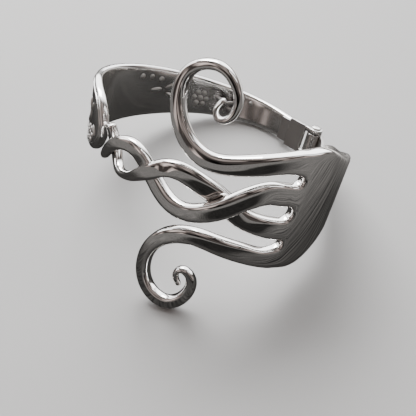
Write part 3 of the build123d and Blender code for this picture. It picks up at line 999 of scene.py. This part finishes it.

# %% [markdown]
# On the real bracelet the fork and everything brazed to it stay together, and the band takes
# its own knuckles and the rivet along when it opens. So each piece rides on one of the two
# bodies, and the solid that it stands for is hidden. The solids themselves get a finish too,
# in case one of them is ever shown.

# %% Finishes, bodies, and the hidden solids
for piece, material in ((fork, fork_silver), (band, band_silver), (rivet, hinge_silver)):
    piece.data.materials.append(material)
for piece in fork_hinge + band_hinge:
    is_plate = piece.name.endswith(("_leaf", "_seat"))
    piece.data.materials.append(leaf_silver if is_plate else hinge_silver)
for node in frame["nodes"].values():
    node.data.materials.clear()
    node.data.materials.append(hinge_silver)
for piece in [fork] + fork_hinge:
    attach(piece, "fork")
    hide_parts("fork_front")
for piece in [band, ornament, thread] + band_hinge:
    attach(piece, "band")
    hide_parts("back_band")
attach(rivet, "band")
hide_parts("hinge_pin")
print("pieces on the fork:", 1 + len(fork_hinge), "and on the band:", 4 + len(band_hinge))

# %% [markdown]
# The camera looks down at about fifty degrees from a hand's breadth away, as for a jewel that
# lies on a table. A tracking constraint could aim it, but it couldn't tip it. So its place and
# the point that it looks at are written down, and it is tipped a little about its own gaze.

# %% Camera
CAMERA_PLACE, CAMERA_LOOKS_AT = Vector((21.84, -84.48, 102.62)), Vector((2.83, -15.5, 15.0))
CAMERA_ROLL, SENSOR, LENS = 6.02, 36.0, 47.61
camera_data = bpy.data.cameras.new("camera")
camera_data.lens, camera_data.sensor_width = LENS, SENSOR
camera_data.clip_start, camera_data.clip_end = 0.005, 10.0
camera = add_object("camera", camera_data)
camera.location = CAMERA_PLACE * MM
gaze = (CAMERA_LOOKS_AT - CAMERA_PLACE).normalized()
tip_over = Matrix.Rotation(math.radians(CAMERA_ROLL), 3, gaze)
camera.rotation_euler = (tip_over @ gaze.to_track_quat("-Z", "Y").to_matrix()).to_euler()
bpy.context.scene.camera = camera
print("camera looks down by", round(-math.degrees(math.asin(gaze.z)), 1), "degrees")

# %% [markdown]
# The floor is plain and pale. Polished metal takes its colour from what it mirrors, and over
# pale paper alone it would look like white china. So only the rays that the metal mirrors
# meet a darker, streaked ground that glows: painted shade under the bracelet and on the near
# side, and a painted sheen on the far side, where the light comes from.

# %% Floor
FLOOR_HALF = 4.0
STREAK_TURN, STREAK_WIDTH, STREAK_LENGTH = -28, 0.7, 26
corner_signs = ((-1, -1), (1, -1), (1, 1), (-1, 1))
floor_mesh = bpy.data.meshes.new("floor")
floor_mesh.from_pydata(
    [(x * FLOOR_HALF, y * FLOOR_HALF, 0) for x, y in corner_signs], [], [(0, 1, 2, 3)]
)
floor = add_object("floor", floor_mesh)
paper = bpy.data.materials.new("pale paper")
paper.use_nodes = True
paper_tree = paper.node_tree
paper_shader = paper_tree.nodes["Principled BSDF"]
paper_shader.inputs["Base Color"].default_value = (0.42, 0.415, 0.41, 1)
paper_shader.inputs["Roughness"].default_value = 0.75
floor_place = add_node(paper_tree, "ShaderNodeTexCoord").outputs["Object"]
stretch = add_node(paper_tree, "ShaderNodeMapping", {
    "Vector": floor_place, "Rotation": (0, 0, math.radians(STREAK_TURN)),
    "Scale": (STREAK_WIDTH * MM, STREAK_LENGTH * MM, 1),
}, vector_type="TEXTURE")
streaks = add_node(paper_tree, "ShaderNodeTexNoise", {
    "Vector": stretch.outputs["Vector"], "Scale": 1.0, "Detail": 4.0,
})
shades = add_node(paper_tree, "ShaderNodeValToRGB", {"Fac": streaks.outputs["Fac"]})
dark, light = shades.color_ramp.elements
dark.position, dark.color = 0.30, (0.020, 0.020, 0.021, 1)
light.position, light.color = 0.74, (0.24, 0.23, 0.22, 1)
print("floor is", 2 * FLOOR_HALF, "m wide")

# %% What the metal mirrors of the floor
# Painted light on the mirrored ground: the first row is painted shade under the bracelet, the
# second painted shade on the near side, the third a painted sheen on the far side.
GLOW_ROWS = (
    # point in millimetres, near and far distance from it, glow when near, glow when far
    ((-18, 5), (45, 100), (0.42, 1.7)),
    ((35, -130), (55, 95), (0.12, 1.0)),
    ((40, 90), (30, 95), (8.0, 1.0)),
)


def glow_from(point, distances, glows):
    """How bright the mirrored ground is by its distance from a point."""
    distance = add_node(paper_tree, "ShaderNodeVectorMath", {
        0: floor_place, 1: Vector((*point, 0)) * MM,
    }, operation="DISTANCE")
    return add_range(
        paper_tree, distance.outputs["Value"], [d * MM for d in distances], glows,
        interpolation_type="SMOOTHSTEP",
    )


def add_product(tree, first, *others):
    """The product of some values."""
    for other in others:
        product = add_node(tree, "ShaderNodeMath", {0: first, 1: other}, operation="MULTIPLY")
        first = product.outputs["Value"]
    return first


glow = add_product(paper_tree, *[glow_from(*row) for row in GLOW_ROWS])
mirrored = add_node(
    paper_tree, "ShaderNodeEmission", {"Color": shades.outputs["Color"], "Strength": glow}
)
seen_in = add_node(paper_tree, "ShaderNodeLightPath")
choose = add_node(paper_tree, "ShaderNodeMixShader", {
    "Fac": seen_in.outputs["Is Glossy Ray"], 1: paper_shader.outputs["BSDF"],
    2: mirrored.outputs["Emission"],
})
paper_out = paper_tree.nodes["Material Output"]
paper_tree.links.new(choose.outputs["Shader"], paper_out.inputs["Surface"])
floor_mesh.materials.append(paper)
floor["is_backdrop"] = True
print("nodes in the floor's material:", len(paper_tree.nodes))

# %% [markdown]
# The room is a warm grey with slow patches, as furniture gives, and the metal's deep greys
# and bright streaks come from it. It is bright on the far side, dark on the near side, and a
# little brighter again at a wall on the left. A picture of a room would do this too, but a
# few lobes on a noise pattern are enough, and need no file.

# %% The room around
ROOM_COLOUR, WINDOW_COLOUR = (0.160, 0.136, 0.127, 1), (0.97, 0.985, 1.0, 1)
WINDOW_WAY, WINDOW_GLOW = (-0.10, 0.93, 0.36), 5.0
NEAR_WAY, NEAR_SHADE = (0.22, -0.97, 0.0), 0.85
WALL_WAY, WALL_GLOW = (-0.62, -0.77, 0.12), 2.4
world = bpy.data.worlds.new("studio")
bpy.context.scene.world = world
world.use_nodes = True
room_tree = world.node_tree
look = add_node(room_tree, "ShaderNodeTexCoord").outputs["Generated"]


def lobe(way, cosines, values):
    """A value that goes over from the first to the second as the direction nears a way."""
    towards = add_node(
        room_tree, "ShaderNodeVectorMath", {0: look, 1: Vector(way).normalized()},
        operation="DOT_PRODUCT",
    )
    return add_range(
        room_tree, towards.outputs["Value"], cosines, values, interpolation_type="SMOOTHSTEP"
    )


def backdrop(colour, strength):
    """A background shader whose strength is worked out."""
    shader = add_node(room_tree, "ShaderNodeBackground", {"Color": colour, "Strength": strength})
    return shader.outputs["Background"]


patches = add_node(room_tree, "ShaderNodeTexNoise", {"Vector": look, "Scale": 2.6, "Detail": 2.0})
shaded = add_product(
    room_tree, add_range(room_tree, patches.outputs["Fac"], (0.44, 0.58), (0.15, 3.0)),
    lobe(NEAR_WAY, (0.80, 0.93), (1.0, 1.0 - NEAR_SHADE)),
    lobe(WALL_WAY, (0.86, 0.97), (1.0, WALL_GLOW)),
)
daylight = lobe(WINDOW_WAY, (0.50, 0.86), (0.0, WINDOW_GLOW))
both = add_node(room_tree, "ShaderNodeAddShader", {
    0: backdrop(ROOM_COLOUR, shaded), 1: backdrop(WINDOW_COLOUR, daylight),
})
room_out = room_tree.nodes["World Output"]
room_tree.links.new(both.outputs["Shader"], room_out.inputs["Surface"])
print("nodes in the room:", len(room_tree.nodes))

# %% [markdown]
# Large soft lights give the broad bright faces and the white lines along the upper edges.
# Small ones would leave hard dots on the metal.

# %% Lights
LIGHTS_LOOK_AT = Vector((0, 0, 20))
LIGHT_ROWS = (
    # name, place, width and height, power in watts
    ("window", (-100, 260, 330), (300, 200), 2.6),
    ("left fill", (-330, 60, 170), (130, 220), 0.35),
    ("right strip", (300, 40, 230), (90, 200), 0.15),
)
for name, place, (width, height), power in LIGHT_ROWS:
    data = bpy.data.lights.new(name, "AREA")
    data.shape, data.size, data.size_y, data.energy = "RECTANGLE", width * MM, height * MM, power
    light = add_object(name, data)
    light.location = Vector(place) * MM
    light.rotation_euler = (LIGHTS_LOOK_AT - Vector(place)).to_track_quat("-Z", "Y").to_euler()
    print(name, "gives", power, "W")

# %% The size of what is drawn, and the end
low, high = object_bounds()
print("visual box in mm:", [round((b - a) / MM, 2) for a, b in zip(low, high)])
